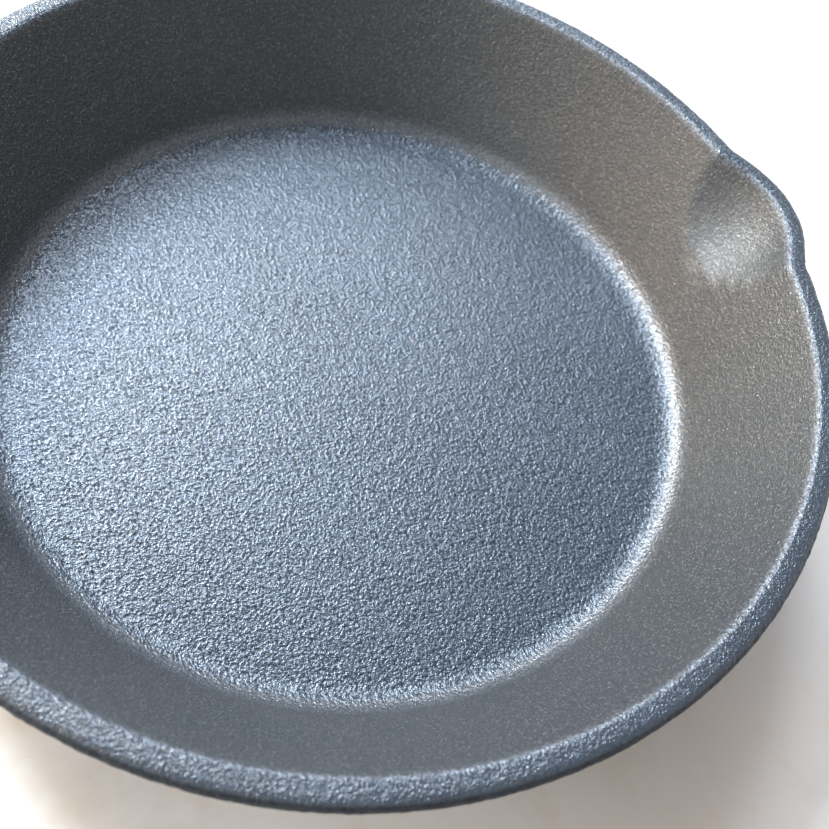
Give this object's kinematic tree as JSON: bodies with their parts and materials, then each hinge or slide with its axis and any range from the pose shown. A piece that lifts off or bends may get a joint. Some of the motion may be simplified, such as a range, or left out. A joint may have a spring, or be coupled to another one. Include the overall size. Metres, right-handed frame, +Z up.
{
  "type": "cast iron skillet",
  "caption": "Small round frying pan cast in one piece, with a flared wall, opposite pour spouts and a straight handle with a hanging hole.",
  "frame": {"origin": "centre of the flat underside of the pan", "axes": "+X along the handle, away from the bowl; +Z up; the pour spouts face +Y and -Y"},
  "size_m": [0.2587, 0.1698, 0.0348],
  "materials": {
    "seasoned_cast_iron": "seasoned black iron, satin, with a fine cast grain"
  },
  "bodies": {
    "root": {"skillet_casting": "seasoned_cast_iron"}
  },
  "joints": []
}
